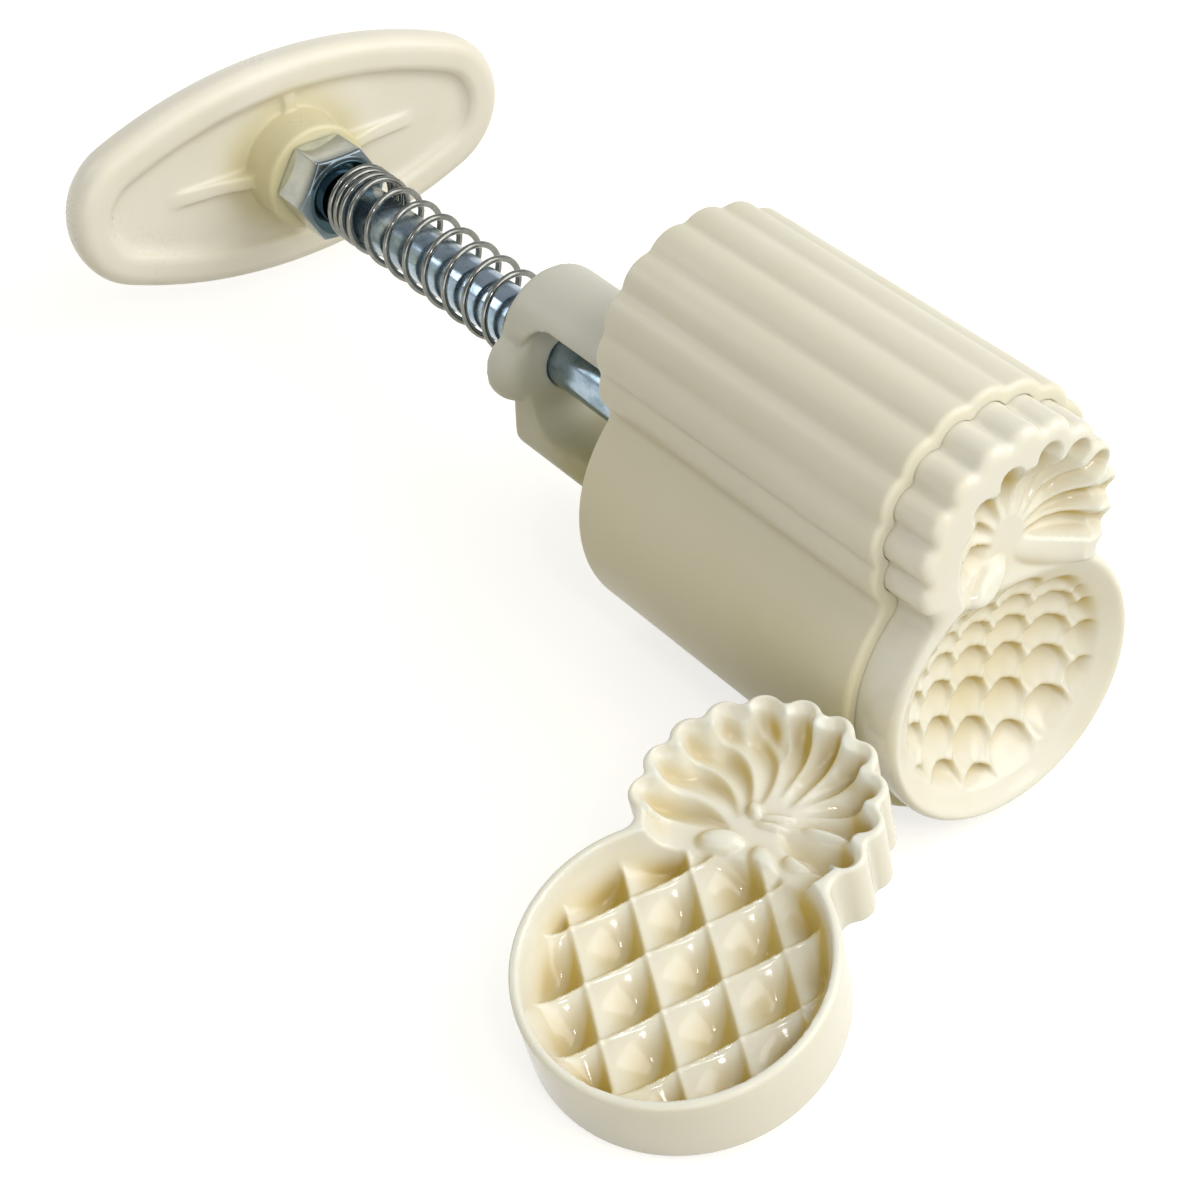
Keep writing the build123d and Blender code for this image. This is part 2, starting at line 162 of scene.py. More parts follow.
def sealed(piece):
    """Joins a piece's coincident points, fills open ends and turns its faces outwards."""
    activate(piece)
    bpy.ops.object.mode_set(mode="EDIT")
    bpy.ops.mesh.select_all(action="SELECT")
    bpy.ops.mesh.remove_doubles(threshold=join_distance)
    bpy.ops.mesh.select_all(action="DESELECT")
    bpy.ops.mesh.select_non_manifold()
    bpy.ops.mesh.fill_holes(sides=0)
    bpy.ops.mesh.select_all(action="SELECT")
    bpy.ops.mesh.normals_make_consistent(inside=False)
    bpy.ops.object.mode_set(mode="OBJECT")


def softened(name, node, voxel, rounds):
    """A copy of a CAD node in millimetres, remeshed finely and smoothed, so its edges look moulded."""
    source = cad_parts[node]
    deselect()
    mesh = source.data.copy()
    mesh.transform(Matrix.Scale(1 / MM, 4) @ source.matrix_world)
    piece = bpy.data.objects.new(name, mesh)
    bpy.context.collection.objects.link(piece)
    sealed(piece)
    remeshed(piece, voxel, rounds)
    return piece


def rolled(name, path, radius, sides):
    """A round wire along a path: a grid rolled up into a tube."""
    deselect()
    bpy.ops.mesh.primitive_grid_add(x_subdivisions=sides, y_subdivisions=len(path) - 1, size=2)
    piece = bpy.context.object
    piece.name = name
    middles = np.array([tuple(place) for place in path])
    headings = np.gradient(middles, axis=0)
    headings /= np.linalg.norm(headings, axis=1)[:, None]
    aside = np.cross(headings[0], (0, 0, 1))
    asides = []
    for heading in headings:
        aside = aside - heading * aside.dot(heading)
        aside = aside / np.linalg.norm(aside)
        asides.append(aside)
    asides = np.array(asides)
    uprights = np.cross(headings, asides)
    flat = coordinates(piece)
    index = np.rint((flat[:, 1] + 1) / 2 * (len(path) - 1)).astype(int)
    angle = (flat[:, 0] + 1) / 2 * tau
    around = asides[index] * np.cos(angle)[:, None] + uprights[index] * np.sin(angle)[:, None]
    set_coordinates(piece, middles[index] + around * radius)
    sealed(piece)
    return piece


def attribute(piece, name, values):
    """Stores a value for each vertex, for the finish to read."""
    layer = piece.data.attributes.new(name, "FLOAT", "POINT")
    layer.data.foreach_set("value", np.clip(values, 0, 1).astype(np.float32))


def finished(piece, body, slot, finish, *nodes):
    """Gives a piece in millimetres its size in metres, its finish and its body, and hides the nodes it
    stands for.

    A piece given no body rides on none.
    """
    activate(piece)
    piece.data.transform(Matrix.Scale(MM, 4))
    piece.data.materials.clear()
    piece.data.materials.append(finish)
    bpy.ops.object.shade_smooth()
    piece.shadow_terminator_geometry_offset = 0.4
    if body:
        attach(piece, body)
    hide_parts(*nodes)
    return piece


# The pineapple outline, and how many points each of its arcs has

neck_points = 10
valley_points = 6
lobe_points = 16
body_points = 150


def arc(centre, start, end, count, long_way=False):
    """Points on an arc from start up to, but not on, end."""
    first = atan2(start.y - centre.y, start.x - centre.x)
    turn = (atan2(end.y - centre.y, end.x - centre.x) - first + pi) % tau - pi
    if long_way:
        turn -= copysign(tau, turn)
    radius = (start - centre).length
    return [
        centre + Vector((cos(first + turn * step / count), sin(first + turn * step / count))) * radius
        for step in range(count)
    ]


def rounding_centre(first, second, rounding):
    """The centre of the arc that rounds the notch between two circles, away from the crown."""
    (start, start_radius), (end, end_radius) = first, second
    reach = start_radius + rounding
    span = end - start
    foot = (reach**2 - (end_radius + rounding) ** 2 + span.length**2) / (2 * span.length)
    line = span.normalized()
    aside = Vector((-line.y, line.x)) * sqrt(reach**2 - foot**2)
    return max(
        (start + line * foot + side * aside for side in (1, -1)),
        key=lambda place: (place - crown_centre).length,
    )


def pineapple(growth, valley_rounding):
    """The outline of body and crown as points, clockwise from the left neck."""
    half_lobe = lobe_pitch / 2
    rise = crown_tip - crown_valley * cos(half_lobe)
    lobe_radius = ((crown_valley * sin(half_lobe)) ** 2 + rise**2) / (2 * rise)
    hub = crown_tip - lobe_radius
    body = (body_centre, body_radius + growth)
    turns = [(lobe - (lobe_count - 1) / 2) * lobe_pitch for lobe in range(lobe_count)]
    lobes = [
        (crown_centre + Vector((sin(turn), cos(turn))) * hub, lobe_radius + growth) for turn in turns
    ]
    circles = [body, *lobes, body]
    roundings = [neck_round, *[valley_rounding] * (lobe_count - 1), neck_round]
    centres = [
        rounding_centre(*pair, rounding) for *pair, rounding in zip(circles, circles[1:], roundings)
    ]
    points = []
    for index, centre in enumerate(centres):
        ends = [
            around[0] + (centre - around[0]).normalized() * around[1]
            for around in circles[index : index + 2]
        ]
        points += arc(centre, *ends, neck_points if index in (0, lobe_count) else valley_points)
        around = circles[index + 1]
        following = centres[(index + 1) % len(centres)]
        leave = around[0] + (following - around[0]).normalized() * around[1]
        last = index == lobe_count
        count = body_points if last else lobe_points
        points += arc(around[0], ends[1], leave, count, long_way=last)
    return points


def ring(points, y):
    """A ring of an outline's points at a depth along the axis."""
    return np.array([(point.x, y, point.y) for point in points])


def round_ring(radius, y, count=64):
    """A round ring about the axis."""
    angles = [tau * step / count for step in range(count)]
    return ring([Vector((radius * sin(angle), radius * cos(angle))) for angle in angles], y)


# Reliefs of the stamps, as depths below the front plane

leaf_steps = 40


def smooth_step(value, low, high):
    """0 below low, 1 above high, and smooth between."""
    share = np.clip((value - low) / (high - low), 0, 1)
    return share * share * (3 - 2 * share)


def smooth_deepest(depths, blend):
    """The deepest of several depths, with their meeting lines rounded."""
    depths = np.array(depths)
    top = depths.max(axis=0)
    return top + blend * np.log(np.exp((depths - top) / blend).sum(axis=0))


def dish(x, z, centre, radius, depth, power):
    """A round hollow whose floor rises to the rim."""
    reach = np.hypot(x - centre.x, z - centre.y) / radius
    return depth * (1 - np.minimum(reach, 1) ** power)


def leaf(x, z, points, half_width, depth):
    """A scoop along a curved leaf, steeper on its right side and shallow at its root."""
    root, bend, tip = (np.array(point, float) for point in points)
    nearest = np.full(x.shape, np.inf)
    lean = np.zeros(x.shape)
    run = np.zeros(x.shape)
    for share in np.linspace(0, 1, leaf_steps + 1):
        place = root * (1 - share) ** 2 + bend * 2 * share * (1 - share) + tip * share**2
        heading = (bend - root) * (1 - share) + (tip - bend) * share
        heading /= np.linalg.norm(heading)
        width = half_width * (0.35 + 0.65 * sin(pi / 2 * min(1, share / 0.7)))
        aside = ((x - place[0]) * heading[1] - (z - place[1]) * heading[0]) / width
        reach = np.hypot(x - place[0], z - place[1]) / width
        closer = reach < nearest
        nearest = np.where(closer, reach, nearest)
        lean = np.where(closer, aside, lean)
        run = np.where(closer, share, run)
    scoop = (1 - np.minimum(nearest, 1) ** 2) * (1 + 0.55 * lean)
    return depth * scoop * (0.1 + 0.9 * np.sin(pi * 0.62 * run))


def petal(x, z, centre, half_length, half_width, turn):
    """1 inside a small raised leaf, rounding down to 0 at its edge."""
    along = (x - centre[0]) * cos(turn) + (z - centre[1]) * sin(turn)
    aside = (z - centre[1]) * cos(turn) - (x - centre[0]) * sin(turn)
    return 1 - np.minimum((along / half_length) ** 2 + (aside / half_width) ** 2, 1) ** 1.6


# Each leaf of the spare stamp's crown: root, bend and tip, from the body's centre
spare_leaves = (
    ((-3.3, 19.0), (-8.0, 20.4), (-12.2, 18.9)),
    ((-3.0, 21.2), (-7.0, 25.2), (-12.2, 23.6)),
    ((-2.2, 22.0), (-4.8, 28.4), (-10.6, 27.6)),
    ((-1.2, 23.2), (-1.6, 31.8), (-7.9, 31.2)),
    ((-0.6, 29.0), (-2.2, 32.2), (-4.3, 33.4)),
    ((0.6, 25.5), (0.2, 31.0), (-0.2, 34.2)),
    ((2.2, 24.5), (2.6, 30.0), (3.8, 33.6)),
    ((3.9, 25.0), (5.4, 29.6), (7.9, 31.2)),
    ((4.0, 23.6), (7.2, 26.8), (10.7, 27.6)),
    ((3.6, 22.2), (8.0, 24.8), (12.2, 23.6)),
    ((3.2, 21.2), (5.4, 18.8), (12.1, 18.6)),
)
# Each small leaf at its foot: middle, half length, half width, turn and height
spare_petals = (
    ((-2.9, 17.2), 2.9, 1.7, 0.25, 1.3),
    ((2.9, 16.2), 2.6, 1.5, -0.75, 1.1),
    ((6.6, 17.6), 2.0, 1.3, 0.2, 0.9),
    ((8.0, 22.3), 3.0, 1.1, 0.1, 0.9),
    ((-0.9, 22.4), 1.4, 0.9, -0.9, 0.9),
    ((1.8, 21.0), 2.2, 0.45, 0.1, 0.6),
    ((1.8, 22.2), 2.2, 0.45, 0.25, 0.6),
)
# The same for the mounted stamp, from the plunger's axis
mounted_leaves = (
    ((-2.6, 17.6), (-5.0, 17.8), (-7.4, 17.6)),
    ((-2.4, 19.6), (-4.8, 21.2), (-7.4, 21.8)),
    ((-1.6, 21.0), (-3.4, 24.0), (-6.0, 26.0)),
    ((-0.2, 21.8), (-0.6, 25.6), (-2.2, 28.6)),
    ((1.2, 22.0), (2.4, 26.2), (3.4, 29.8)),
    ((2.2, 21.2), (4.8, 24.6), (7.8, 28.4)),
    ((3.0, 20.4), (7.0, 22.8), (11.4, 25.4)),
    ((3.4, 19.2), (8.0, 20.0), (13.2, 20.8)),
    ((3.2, 17.8), (8.4, 17.6), (13.2, 16.4)),
)
mounted_petals = (
    ((-3.4, 14.0), 3.9, 2.1, 0.45, 1.7),
    ((7.9, 14.9), 6.6, 2.7, -0.12, 0.9),
)


def fan(x, z, leaves, half_width, depth):
    """The leaves of a crown, as one depth below its floor."""
    return np.max([leaf(x, z, points, half_width, depth) for points in leaves], axis=0)


def lobed_hollow(x, z, centre, radius, wave, depth, power):
    """A hollow whose wall follows the crown's lobes."""
    turn = np.arctan2(x - centre.x, z - centre.y)
    lobed = np.abs(turn) < lobe_pitch * lobe_count / 2
    wall = radius + wave * np.cos(tau * turn / lobe_pitch) * lobed
    reach = np.hypot(x - centre.x, z - centre.y) / wall
    return depth * (1 - np.minimum(reach, 1) ** power)


def raised(x, z, petals):
    """How far the small leaves at the crown's foot stand up."""
    return sum(height * petal(x, z, *place) for *place, height in petals)


def skewed(value):
    """A place across a lattice cell, from -1 to 1, drawn so that its middle lies nearer to 1."""
    return value - 0.38 * (1 - value**2)


# The lattice, from the body's centre: its diamonds, the height of a crossing, bowls and ridges
diamond_width = 9.5
diamond_height = 11.7
crossing_height = 7.2
bowl_depth = 2.7
ridge_height = 0.3
ridge_width = 0.055
lattice_fade = (15.2, 16.7)
lattice_top = (14.5, 17.0)


def lattice_relief(x, z):
    """The spare stamp's front: leaves, and crossed ridges round bowls that are deepest at the right."""
    z = z - body_centre.y
    across = x / diamond_width
    along = (z - crossing_height) / diamond_height
    first = 2 * ((across + along) % 1) - 1
    second = 2 * ((across - along) % 1) - 1
    bowls = bowl_depth * (1 - skewed(first) ** 2) * (1 - skewed(second) ** 2)
    off_ridges = [(1 - np.abs(side)) / ridge_width for side in (first, second)]
    ridges = ridge_height * sum(np.exp(-(away**2)) for away in off_ridges)
    fade = (1 - smooth_step(np.hypot(x, z), *lattice_fade)) * (1 - smooth_step(z, *lattice_top))
    body = dish(x, z, Vector((0, 0)), radius=17.35, depth=4.5, power=20) + (bowls - ridges) * fade
    centre = crown_centre - body_centre
    crown = lobed_hollow(x, z, centre, radius=12.8, wave=0.7, depth=3.7, power=12)
    crown = crown + fan(x, z, spare_leaves, half_width=1.9, depth=1.6)
    return smooth_deepest([body, crown], blend=0.12) - raised(x, z, spare_petals)


# Rows of scales from the crown down: height of the middle, and height of a scale
scale_rows = (
    (9.2, 3.4), (7.4, 3.6), (5.9, 3.8), (4.0, 4.1), (2.1, 4.5), (-0.2, 4.9),
    (-2.6, 5.4), (-5.3, 5.7), (-8.2, 6.0), (-11.3, 6.2), (-14.3, 6.3), (-17.6, 6.3),
)
scale_width = 5.7
scale_depth = 1.7
flute_depth = 0.07
scales_fade = (13.4, 15.2)
scales_top = (10.0, 12.0)


def scales(x, z):
    """Depth of the scales: each is deepest under its arch, and the arches below cover its foot."""
    depth = np.zeros(x.shape)
    for row, (middle, height) in enumerate(scale_rows):
        for column in range(-4 + row % 2, 4, 2):
            aside = (x - (column + 0.5) * scale_width) / (scale_width * 0.56)
            rise = (z - middle) / (height * 0.56)
            reach = np.hypot(aside, rise)
            flutes = flute_depth * np.cos(9 * np.arctan2(aside, 1.5 + rise))
            flutes = flutes * smooth_step(-rise, -0.3, 0.6)
            slope = 0.1 + 0.9 * smooth_step(rise, -1.1, 0.85) * (1 - 0.35 * aside**2)
            inside = smooth_step(1.04 - reach, 0, 0.2)
            depth = depth + (scale_depth * slope + flutes - depth) * inside
    return depth


def scale_relief(x, z):
    """The mounted stamp's front: rows of scales in a smooth dish, and the leaves."""
    reach = np.hypot(x, z - body_centre.y)
    fade = (1 - smooth_step(reach, *scales_fade)) * (1 - smooth_step(z, *scales_top))
    body = dish(x, z, body_centre, radius=17.9, depth=5.0, power=2.6) + scales(x, z) * fade
    crown = dish(x, z, Vector((1.2, 18.6)), radius=10.9, depth=3.2, power=3.2)
    crown = crown + fan(x, z, mounted_leaves, half_width=1.9, depth=2.3)
    return smooth_deepest([body, crown], blend=0.2) - raised(x, z, mounted_petals)


def spread(piece, values, rounds):
    """Values of the vertices, each averaged with its neighbours some rounds over."""
    edges = np.empty(len(piece.data.edges) * 2, int)
    piece.data.edges.foreach_get("vertices", edges)
    first, second = edges.reshape(-1, 2).T
    count = np.bincount(edges, minlength=len(values)) + 1
    for _ in range(rounds):
        total = values + np.bincount(first, values[second], len(values))
        values = (total + np.bincount(second, values[first], len(values))) / count
    return values


stamp_voxel = 0.235
back_bevel = 0.3
slope_reach = 0.3


def stamp(name, relief, growth, rim, dark_side):
    """A stamp about the front plane's middle: x across, z up, y into the stamp.

    The hollows get painted shade, warmer and darker, most on the walls that face against dark_side, and
    thin rims get painted light, paler.
    """
    turns = [pi / 2 * step / 6 for step in range(7)]
    edges = [(rim * (1 - sin(turn)), rim * (1 - cos(turn))) for turn in turns]
    edges += [(0, stamp_thickness - back_bevel), (back_bevel, stamp_thickness)]
    rings = [ring(pineapple(growth - inset, valley_round - growth + inset), y) for inset, y in edges]
    piece = lofted(name, rings)
    remeshed(piece, stamp_voxel, rounds=2)
    places = coordinates(piece)
    x, y, z = places.T
    front = (y < stamp_thickness / 2) * (1 - smooth_step(y, rim, rim + 1))
    depth = np.maximum(relief(x, z), 0) * front
    step_x, step_z = dark_side.normalized() * slope_reach
    slope = (relief(x - step_x, z - step_z) - relief(x + step_x, z + step_z)) / (2 * slope_reach)
    places[:, 1] = y + depth
    set_coordinates(piece, places)
    around = spread(piece, depth, 60)
    # Painted shade: recesses deeper than their surroundings, walls that face against dark_side, and deep
    # hollows
    painted_shade = np.clip((depth - around) / 1.4, 0, 1)
    dark = spread(piece, np.clip(slope, 0, 1.2) * smooth_step(depth, 0.8, 3.2), 2)
    deep_shade = smooth_step(depth, 3.5, 7)
    attribute(piece, "shade_and_tone", 0.5 * painted_shade + 0.85 * dark + 0.32 * deep_shade)
    # Painted light: rims that stand higher than their surroundings are tinted paler, as if lit through
    attribute(piece, "thin_rim_light", spread(piece, np.clip((around - depth) / 1.6, 0, 1), 4))
    return piece


# Finishes


class Shade:
    """A socket of a material's nodes. Operators on it add Math nodes."""

    def __init__(self, tree, socket=None):
        self.tree = tree
        self.socket = socket

    def add(self, kind, inputs=None, output=0, **settings):
        """A new node, with its settings made first and then its sockets filled or linked."""
        node = self.tree.nodes.new(kind)
        for name, value in settings.items():
            setattr(node, name, value)
        for name, value in (inputs or {}).items():
            if isinstance(value, Shade):
                self.tree.links.new(value.socket, node.inputs[name])
            else:
                node.inputs[name].default_value = value
        return Shade(self.tree, node.outputs[output])

    def math(self, operation, *values):
        """A Math node on this value and others."""
        return self.add(
            "ShaderNodeMath", dict(enumerate([self, *values])), operation=operation
        )

    def __add__(self, other):
        return self.math("ADD", other)

    def __mul__(self, other):
        return self.math("MULTIPLY", other)

    __radd__ = __add__
    __rmul__ = __mul__

    def between(self, low, high, start=0.0, end=1.0):
        """This value taken smoothly from low..high to start..end."""
        return self.add(
            "ShaderNodeMapRange",
            {0: self, 1: low, 2: high, 3: start, 4: end},
            interpolation_type="SMOOTHSTEP",
        )

    def mix(self, first, second):
        """A mix of two colours, with this value as the share of the second."""
        return self.add(
            "ShaderNodeMix", {0: self, 6: first, 7: second}, output=2, data_type="RGBA"
        )

    def bump(self, strength, distance=0.00005):
        """A normal tilted by this value, as a height."""
        sockets = {"Strength": strength, "Distance": distance, "Height": self}
        return self.add("ShaderNodeBump", sockets)

    def noise(self, scale, detail=2.0, roughness=0.5, stretch=(1, 1, 1)):
        """Noise on the piece's own coordinates, in features to the metre."""
        place = self.add("ShaderNodeTexCoord", output="Object")
        if stretch != (1, 1, 1):
            place = self.add("ShaderNodeMapping", {"Vector": place, "Scale": stretch})
        return self.add(
            "ShaderNodeTexNoise",
            {"Vector": place, "Scale": scale, "Detail": detail, "Roughness": roughness},
        )


def colour(red, green, blue):
    """A colour as read on a screen, from 0 to 255, made linear."""
    parts = [part / 255 for part in (red, green, blue)]
    return (*[((part + 0.055) / 1.055) ** 2.4 if part > 0.04045 else part / 12.92 for part in parts], 1)


def material(name, make, **constants):
    """A material whose surface sockets come from constants and from what make returns."""
    finish = bpy.data.materials.new(name)
    finish.use_nodes = True
    tree = finish.node_tree
    surface = next(node for node in tree.nodes if node.type == "BSDF_PRINCIPLED")
    for socket, value in constants.items():
        surface.inputs[socket.replace("_", " ")].default_value = value
    for socket, value in make(Shade(tree)).items():
        if isinstance(value, Shade):
            tree.links.new(value.socket, surface.inputs[socket])
        else:
            surface.inputs[socket].default_value = value
    return finish


def plastic(pale, deep_shade, shine):
    """Moulded plastic: cloudy, with faint flow lines, painted shade where the piece's attribute says, and
    painted light on thin rims.
    """

    def make(shade):
        cloud = shade.noise(45, 3)
        flow = shade.noise(130, 2, stretch=(1, 0.12, 1))
        skin = shade.noise(1900, 2)
        painted_shade, thin_rim_light = (
            shade.add("ShaderNodeAttribute", output="Fac", attribute_name=name) for name in ("shade_and_tone", "thin_rim_light")
        )
        # Painted shade from the piece's attribute, plus the plastic's own cloudy and flowing tone
        shade_and_tone = painted_shade + cloud.between(0.35, 0.75, 0, 0.1) + flow.between(0.45, 0.7, 0, 0.05)
        rough = cloud.between(0.3, 0.7, shine, shine + 0.08) + skin.between(0.3, 0.8, 0, 0.05)
        # The pale grey is painted light on thin rims
        return {
            "Base Color": (thin_rim_light * 0.8).mix(shade_and_tone.mix(pale, deep_shade), colour(222, 224, 214)),
            "Roughness": rough,
            "Normal": (skin + flow * 2).bump(0.04),
        }

    return make


def zinc(shade):
    """Blue-white zinc plate: mottled, darker in patches, and smooth enough to mirror the spring."""
    patch = shade.noise(260, 4, 0.6)
    spots = shade.noise(900, 3, 0.7)
    dark = patch.between(0.42, 0.68) * 0.5 + spots.between(0.55, 0.75) * 0.4
    return {
        "Base Color": dark.mix(colour(166, 184, 200), colour(84, 116, 124)),
        "Roughness": patch.between(0.3, 0.75, 0.1, 0.3),
        "Normal": (patch + spots).bump(0.08),
    }


def bright_plate(shade):
    """Bright plated steel, with faint wear and a painted dark reflection on its front."""
    wear = shade.noise(420, 4, 0.6)
    place = shade.add("ShaderNodeTexCoord", output="Object")
    along = shade.add("ShaderNodeSeparateXYZ", {"Vector": place}, output="Y")
    # Painted reflection: the front of the nut is painted dark, standing in for dark surroundings it mirrors
    front = along.between(nut_front * MM, (nut_front + 3.2) * MM, 1, 0)
    steel = wear.mix(colour(226, 230, 233), colour(176, 184, 190))
    return {
        "Base Color": front.mix(steel, colour(60, 78, 84)),
        "Roughness": wear.between(0.35, 0.8, 0.08, 0.2),
        "Normal": wear.bump(0.06),
    }


def wire(shade):
    """Spring wire, smooth and a little brown."""
    wear = shade.noise(700, 4, 0.6)
    return {
        "Base Color": wear.mix(colour(158, 160, 156), colour(92, 92, 84)),
        "Roughness": wear.between(0.35, 0.8, 0.1, 0.22),
        "Normal": wear.bump(0.06, 0.00004),
    }


def moulded(name, pale, deep_shade, shine):
    """A moulded plastic that lets a little light through."""
    return material(
        name,
        plastic(colour(*pale), colour(*deep_shade), shine),
        Subsurface_Weight=0.3,
        Subsurface_Radius=(1.0, 0.9, 0.5),
        Subsurface_Scale=0.002,
    )


# Each plastic: its own colour, the colour of its painted shade, and its shine
ivory = moulded("ivory", (221, 216, 195), (198, 186, 130), 0.3)
handle_ivory = moulded("handle_ivory", (227, 222, 206), (196, 184, 122), 0.26)
stamp_ivory = moulded("stamp_ivory", (227, 223, 206), (200, 174, 88), 0.07)
grey_ivory = moulded("grey_ivory", (200, 198, 184), (172, 163, 106), 0.36)
rod_zinc = material("rod_zinc", zinc, Metallic=1.0)
nut_plate = material("nut_plate", bright_plate, Metallic=1.0)
spring_wire = material("spring_wire", wire, Metallic=1.0)

# Stamps

mounted_growth = stamp_gap - 0.05
mounted = stamp("mounted_stamp_scales", scale_relief, mounted_growth, rim=1.3, dark_side=Vector((0.2, 1)))
mounted.data.transform(Matrix.Translation((0, stamp_front, 0)))
finished(mounted, "mounted_stamp", "honeycomb_stamp", stamp_ivory, "honeycomb_stamp")

# Where the spare stamp leans: the middle of its body's front, which way that faces, and how far up
spare_place = Vector((-56.5, -14.9, -6.15))
bearing = radians(-63.9)
rise = radians(72.5)
normal = Vector((sin(bearing) * cos(rise), -cos(bearing) * cos(rise), sin(rise)))
right = Vector((cos(bearing), sin(bearing), 0))
up = normal.cross(right)
lean = Matrix((right, -normal, up)).transposed().to_4x4()
lean.translation = spare_place - up * body_centre.y
spare = stamp("spare_stamp_lattice", lattice_relief, 0, rim=0.5, dark_side=Vector((1, 0)))
spare.data.transform(lean)
finished(spare, "spare_stamp", "lattice_stamp", stamp_ivory, "lattice_stamp")

# Barrel

outer = stamp_gap + barrel_wall
flute_round = 1.3
inner_edge = 0.2
front_edge = 0.8
rear_edge = 0.4


def barrel_ring(growth, y):
    """A ring of the barrel, a distance outside the stamp's outline."""
    outside = growth > stamp_gap + barrel_wall / 2
    valley = flute_round + outer - growth if outside else valley_round - growth
    return ring(pineapple(growth, valley), y)


def quarter(growth, y, side_growth, side_y, count=5):
    """Rings of a rounded edge, about a centre, from one side of it to the other."""
    turns = [pi / 2 * step / count for step in range(count + 1)]
    return [(growth + side_growth * sin(turn), y - side_y * cos(turn)) for turn in turns]


profile = [
    (stamp_gap, barrel_length),
    (stamp_gap, barrel_length / 2),
    *reversed(quarter(stamp_gap + inner_edge, inner_edge, -inner_edge, inner_edge)),
    *quarter(outer - front_edge, front_edge, front_edge, front_edge, count=8),
    (outer, barrel_length / 2),
    *reversed(quarter(outer - rear_edge, barrel_length - rear_edge, rear_edge, -rear_edge)),
    (stamp_gap, barrel_length),
]
barrel = lofted("moulded_barrel", [barrel_ring(*place) for place in profile], capped=False)
sealed(barrel)
# Painted shade: the barrel is darker and yellower towards the bottom
low = 1 - smooth_step(coordinates(barrel)[:, 2], -20, 24)
attribute(barrel, "shade_and_tone", 0.75 * low)
finished(barrel, "barrel", "barrel", ivory, "barrel")

# Guide, piston, handle and nut: the CAD's shapes with moulded, softened edges

plate_thickness = 4.6
plate_front = plate_rear - plate_thickness
guide_round = 3.4
lobe_middle = 6.2
lobe_radius = 5.2
arm_half_width = 7.2
arm_level = 8.8


def rounded_edge(inward, down, radius):
    """Scales that bring places near an edge onto its rounding, from their depths under its sides."""
    along = np.maximum(radius - inward, 0)
    below = np.maximum(radius - down, 0)
    return np.where((along > 0) & (below > 0), radius / np.maximum(np.hypot(along, below), radius), 1)


def curved_lobes(places):
    """Curves the plate's side lobes round into its front."""
    x, y, z = places.T
    core_x = np.clip(x, -lobe_middle, lobe_middle)
    core_z = np.clip(z, 0.1, 0.6)
    out = np.maximum(np.hypot(x - core_x, z - core_z), 0.01)
    shrink = rounded_edge(lobe_radius - out, y - plate_front, guide_round)
    flat = lobe_radius - guide_round
    reach = (flat + (out - flat) * shrink) / out
    turn_line = plate_front + guide_round
    turned = (
        core_x + (x - core_x) * reach,
        turn_line - (turn_line - y) * shrink,
        core_z + (z - core_z) * reach,
    )
    lobe = smooth_step(np.abs(x), 6.6, 8.2) * (1 - smooth_step(out, 5.3, 6.2))
    lobe = lobe * (y > plate_front - 1) * (shrink < 1)
    return places + (np.stack(turned, axis=1) - places) * lobe[:, None]


def rounded_arm(places):
    """Rounds the bottom arm's upper edges towards the rod."""
    x, y, z = places.T
    shrink = rounded_edge(arm_half_width - np.abs(x), -arm_level - z, guide_round)
    arm = (z < 0.2 - arm_level) * (z > -arm_level - guide_round - 0.2) * (shrink < 1)
    arm = arm * smooth_step(y, barrel_length, barrel_length + 1) * (1 - smooth_step(y, 74, 80))
    flat = arm_half_width - guide_round
    aside = np.sign(x) * (flat + (np.abs(x) - flat) * shrink) - x
    low = -arm_level - guide_round
    return places + np.stack((arm * aside, 0 * y, arm * (low + (z - low) * shrink - z)), axis=1)


guide = softened("moulded_guide", "guide_bridge", voxel=0.38, rounds=6)
set_coordinates(guide, rounded_arm(curved_lobes(coordinates(guide))))
smoothed(guide, 4)
x, y, z = coordinates(guide).T
# Painted shade: the guide is darker and yellower low down, most on the bottom arm in the window near the
# barrel
shade_near_barrel = smooth_step(-z, 4, 9) * (1 - smooth_step(y, 60, 84))
attribute(guide, "shade_and_tone", shade_near_barrel + 0.35 * smooth_step(-z, -2, 6))
finished(guide, "barrel", "guide_bridge", grey_ivory, "guide_bridge")
piston = softened("moulded_piston", "piston", voxel=0.5, rounds=1)
finished(piston, "plunger", "piston", ivory, "piston")
nut = softened("plated_nut", "lock_nut", voxel=0.15, rounds=16)
finished(nut, "plunger", "lock_nut", nut_plate, "lock_nut")

handle_front = 153.7
dish_floor = 156.7
dish_lift = 1.3
dish_half_length = 35.5
dish_half_height = 15


def shallow_dish(places):
    """Brings the handle's dish nearer to its rim, as soft as the photograph shows it."""
    x, y, z = places.T
    inside = 1 - smooth_step(np.hypot(x / dish_half_length, z / dish_half_height), 0.9, 1)
    lift = dish_lift * smooth_step(y, handle_front + 0.2, dish_floor) * (y < dish_floor + 1) * inside
    return places - np.stack((0 * x, lift, 0 * z), axis=1)


handle = softened("moulded_handle", "handle", voxel=0.36, rounds=10)
set_coordinates(handle, shallow_dish(coordinates(handle)))
smoothed(handle, 3)
x, y, z = coordinates(handle).T
# Painted shade round the boss, in front of the dish floor
shade_near_boss = 1 - smooth_step(np.hypot(x, z), 7, 15)
attribute(handle, "shade_and_tone", 0.6 * shade_near_boss * (1 - smooth_step(y, 156, 159)))
finished(handle, "plunger", "handle", handle_ivory, "handle")

# Bolt

rod_radius = 4
rod_front = 9.0
rod_rear = 159.4
front_bevel = 0.6
rear_bevel = 0.9
across_flats = 13
head_height = 5.3
head_middle = 7.05

